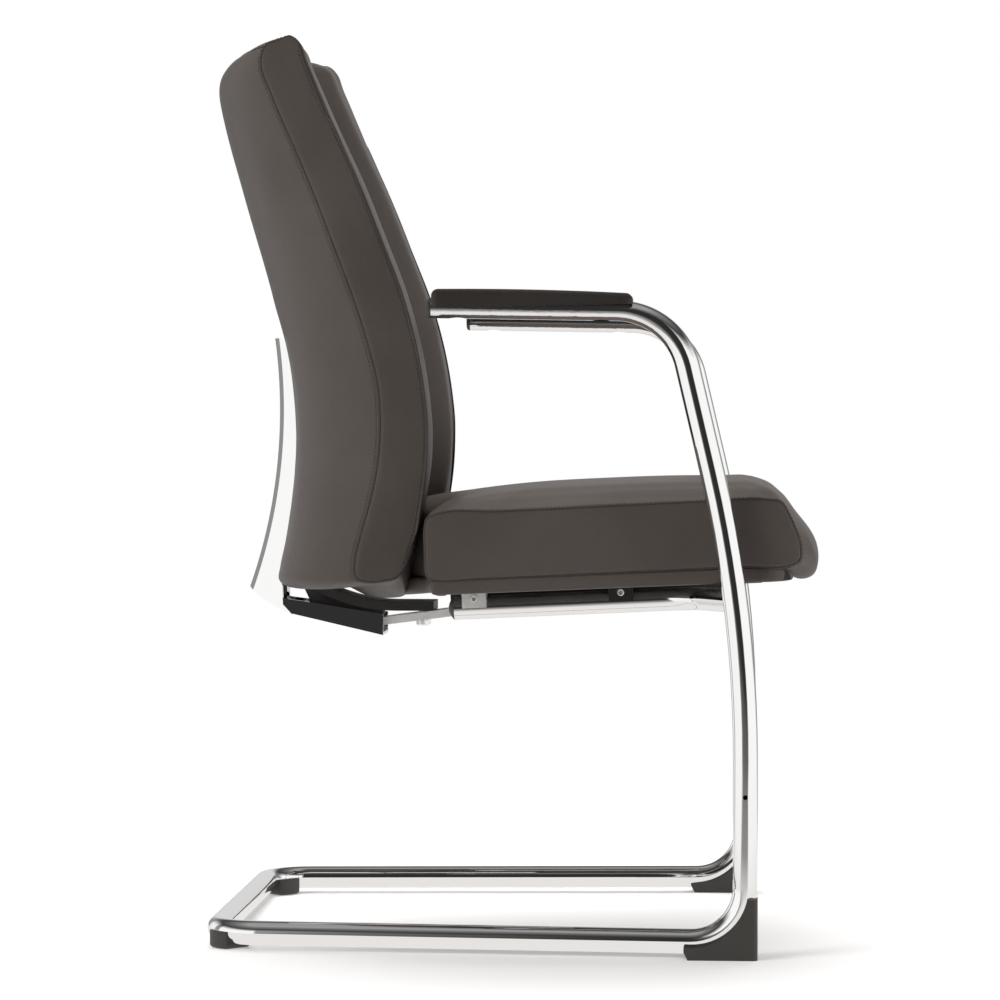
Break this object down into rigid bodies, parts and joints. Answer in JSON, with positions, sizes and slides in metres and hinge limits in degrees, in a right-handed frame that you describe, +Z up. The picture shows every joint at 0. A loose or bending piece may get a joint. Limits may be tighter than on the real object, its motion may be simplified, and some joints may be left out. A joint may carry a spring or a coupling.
{
  "type": "cantilever visitor chair",
  "caption": "Cantilever visitor chair: bent chromed tube frame with padded arms, deep leather seat and tall curved leather back on an L-shaped bar.",
  "frame": {"origin": "on the floor, in the middle of the chair's outline", "axes": "+Z up, the sitter faces -Y and the sitter's right hand is at -X"},
  "size_m": [0.59, 0.6393, 0.934],
  "materials": {
    "leather": "semi-matte dark brown-grey hide",
    "chrome": "polished plating",
    "arm_pad": "soft moulded foam skin",
    "black_plastic": "fine matt texture",
    "foot": "fine matt texture",
    "plywood": "raw moulded plywood",
    "black_steel": "semi-matt black powder coat",
    "steel": "bright zinc plate"
  },
  "bodies": {
    "root": {"seat_cushion": "leather", "back_cushion": "leather", "back_rear_panel": "leather", "frame_right": "chrome", "frame_left": "chrome", "seat_rail_right": "chrome", "seat_rail_left": "chrome", "back_bar_cover": "chrome", "back_bar_tongue": "chrome", "arm_pad_right": "arm_pad", "arm_pad_left": "arm_pad", "arm_end_plug_right": "black_plastic", "arm_end_plug_left": "black_plastic", "rail_end_plug_right": "black_plastic", "rail_end_plug_left": "black_plastic", "seat_under_cover": "black_plastic", "front_foot_right": "foot", "front_foot_left": "foot", "rear_glide_right": "foot", "rear_glide_left": "foot", "seat_board": "plywood", "back_board": "plywood", "back_bar": "black_steel", "seat_rear_bearer": "black_steel", "rail_saddle_rear_right": "steel", "rail_saddle_rear_left": "steel", "rail_saddle_front_right": "steel", "rail_saddle_front_left": "steel", "bar_seat_bolts": "steel", "bar_back_bolts": "steel"}
  },
  "joints": []
}
